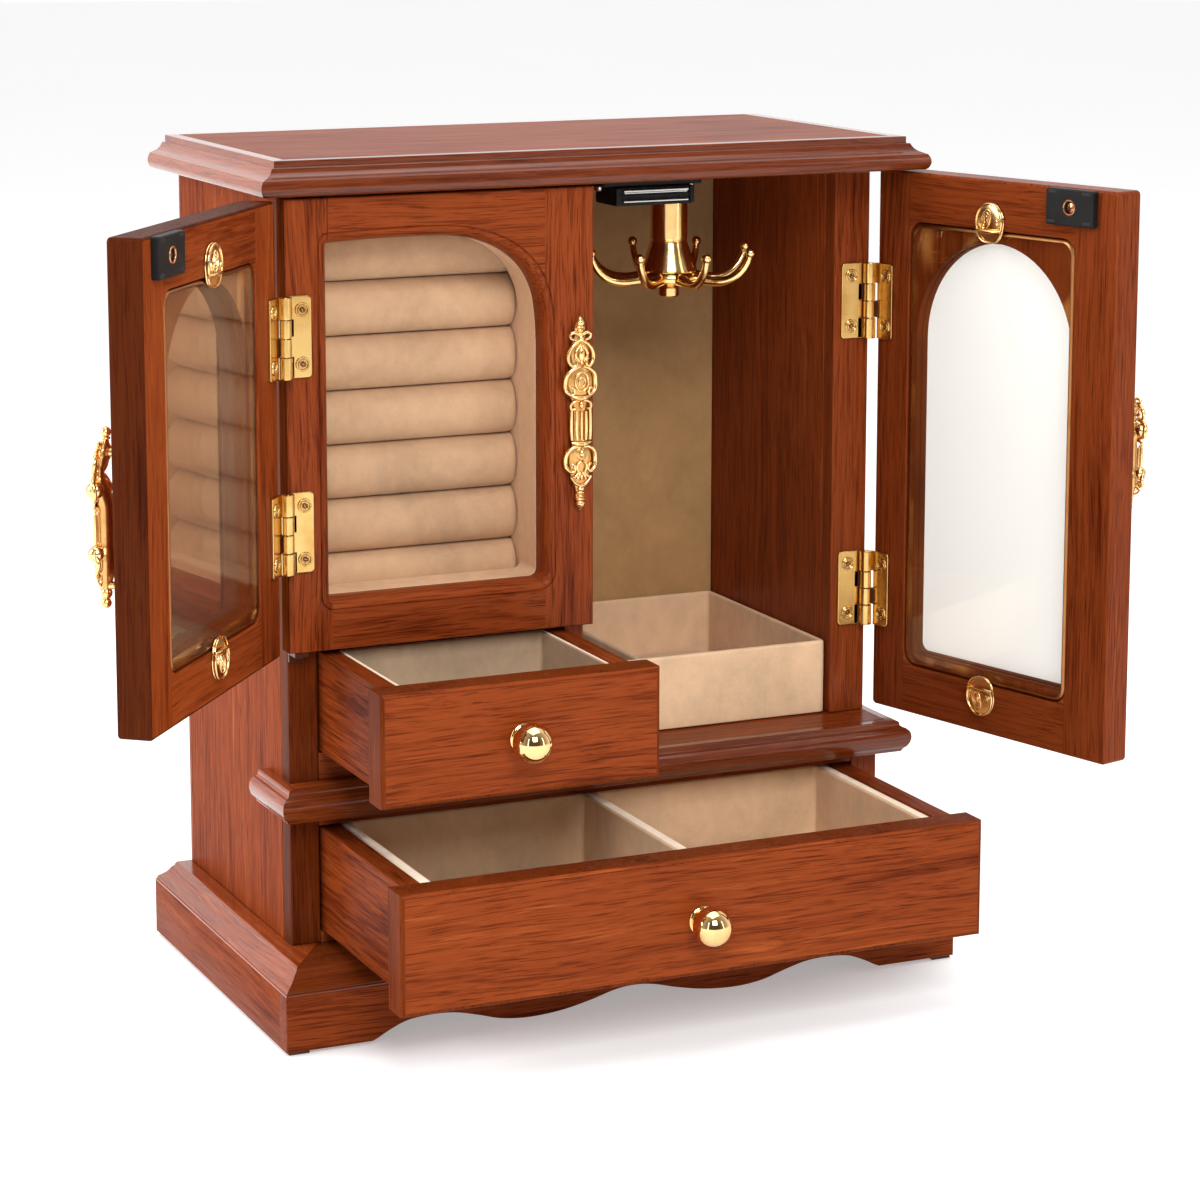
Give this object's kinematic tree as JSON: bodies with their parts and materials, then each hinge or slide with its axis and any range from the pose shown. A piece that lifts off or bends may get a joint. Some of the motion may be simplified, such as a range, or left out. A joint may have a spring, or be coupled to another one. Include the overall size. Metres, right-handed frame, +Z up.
{
  "type": "jewelry cabinet",
  "caption": "Table-top jewelry cabinet with mirrored hinged doors, ring rolls, a hook carousel, a velvet tray and sliding drawers on a moulded plinth.",
  "frame": {"origin": "centre of the plinth's footprint, on the plane that its foot pads rest on", "axes": "+X to the right seen from the front, +Y to the back, +Z up"},
  "size_m": [0.4061, 0.2315, 0.32],
  "materials": {
    "stained_wood": "semi-gloss reddish brown lacquer",
    "velvet": "beige velvet",
    "polished_brass": "polished",
    "mirror_glass": "silvered",
    "clear_sheet": "clear",
    "black_plastic": "satin black",
    "bright_steel": "bright",
    "rubber_pad": "matte black"
  },
  "bodies": {
    "root": {"top_board": "stained_wood", "cornice_moulding": "stained_wood", "side_left": "stained_wood", "side_right": "stained_wood", "back_panel": "stained_wood", "partition": "stained_wood", "post_left": "stained_wood", "posts_right": "stained_wood", "inner_board_right": "stained_wood", "waist_board": "stained_wood", "waist_moulding": "stained_wood", "cross_rails": "stained_wood", "drawer_deck": "stained_wood", "ring_floor": "stained_wood", "bottom_board": "stained_wood", "base_moulding": "stained_wood", "plinth_front": "stained_wood", "plinth_boards": "stained_wood", "foot_pads": "rubber_pad", "ring_lining": "velvet", "ring_rolls": "velvet", "lining_back": "velvet", "catch_body": "black_plastic", "catch_poles": "bright_steel", "right_hinge_fixed": "polished_brass", "carousel_column": "polished_brass", "pivot_pins": "polished_brass"},
    "inner_door": {"inner_stiles": "stained_wood", "inner_rails": "stained_wood", "inner_pull": "polished_brass", "left_hinge_fixed": "polished_brass"},
    "left_door": {"left_door_stiles": "stained_wood", "left_door_rails": "stained_wood", "left_mirror": "mirror_glass", "left_clear_pane": "clear_sheet", "left_strike_plate": "black_plastic", "left_hinge_leaves": "polished_brass", "left_pull": "polished_brass"},
    "left_button_top": {"left_turn_button_top": "polished_brass"},
    "left_button_bottom": {"left_turn_button_bottom": "polished_brass"},
    "right_door": {"right_door_stiles": "stained_wood", "right_door_rails": "stained_wood", "right_mirror": "mirror_glass", "right_clear_pane": "clear_sheet", "right_strike_plate": "black_plastic", "right_hinge_leaves": "polished_brass", "right_pull": "polished_brass"},
    "right_button_top": {"right_turn_button_top": "polished_brass"},
    "right_button_bottom": {"right_turn_button_bottom": "polished_brass"},
    "upper_drawer": {"upper_drawer_front": "stained_wood", "upper_drawer_box": "stained_wood", "upper_drawer_lining": "velvet", "upper_knob": "polished_brass"},
    "lower_drawer": {"lower_drawer_front": "stained_wood", "lower_drawer_box": "stained_wood", "lower_drawer_lining": "velvet", "lower_knob": "polished_brass"},
    "tray": {"accessory_tray": "velvet"},
    "carousel": {"carousel_hub": "polished_brass", "carousel_hooks": "polished_brass"}
  },
  "joints": [
    {"name": "inner_door_hinge", "type": "hinge", "parent": "root", "child": "inner_door", "pos_m": [-0.1204, -0.0466, 0.224], "axis": [0, 0, 1], "range_deg": [-65, 0]},
    {"name": "left_door_hinge", "type": "hinge", "parent": "inner_door", "child": "left_door", "pos_m": [-0.1263, -0.0542, 0.224], "axis": [0, 0, 1], "range_deg": [-15, 129.15]},
    {"name": "right_door_hinge", "type": "hinge", "parent": "root", "child": "right_door", "pos_m": [0.1214, -0.0338, 0.2], "axis": [0, 0, 1], "range_deg": [-104.93, 55]},
    {"name": "left_button_top_swivel", "type": "hinge", "parent": "left_door", "child": "left_button_top", "pos_m": [-0.16824, -0.10271, 0.2928], "axis": [0.7755, -0.6314, 0], "range_deg": [-180, 180]},
    {"name": "left_button_bottom_swivel", "type": "hinge", "parent": "left_door", "child": "left_button_bottom", "pos_m": [-0.16824, -0.10271, 0.1536], "axis": [0.7755, -0.6314, 0], "range_deg": [-180, 180]},
    {"name": "right_button_top_swivel", "type": "hinge", "parent": "right_door", "child": "right_button_top", "pos_m": [0.13907, -0.0927, 0.2922], "axis": [-0.9662, -0.2576, 0], "range_deg": [-180, 180]},
    {"name": "right_button_bottom_swivel", "type": "hinge", "parent": "right_door", "child": "right_button_bottom", "pos_m": [0.13907, -0.0927, 0.1066], "axis": [-0.9662, -0.2576, 0], "range_deg": [-180, 180]},
    {"name": "upper_drawer_slide", "type": "slide", "parent": "root", "child": "upper_drawer", "axis": [0, 1, 0], "range_m": [-0.02, 0.063]},
    {"name": "lower_drawer_slide", "type": "slide", "parent": "root", "child": "lower_drawer", "axis": [0, 1, 0], "range_m": [-0.02, 0.0802]},
    {"name": "tray_slide", "type": "slide", "parent": "root", "child": "tray", "axis": [0, -1, 0], "range_m": [0, 0.06]},
    {"name": "carousel_spin", "type": "hinge", "parent": "root", "child": "carousel", "pos_m": [0.0514, 0.001, 0.264], "axis": [0, 0, 1], "continuous": true}
  ]
}
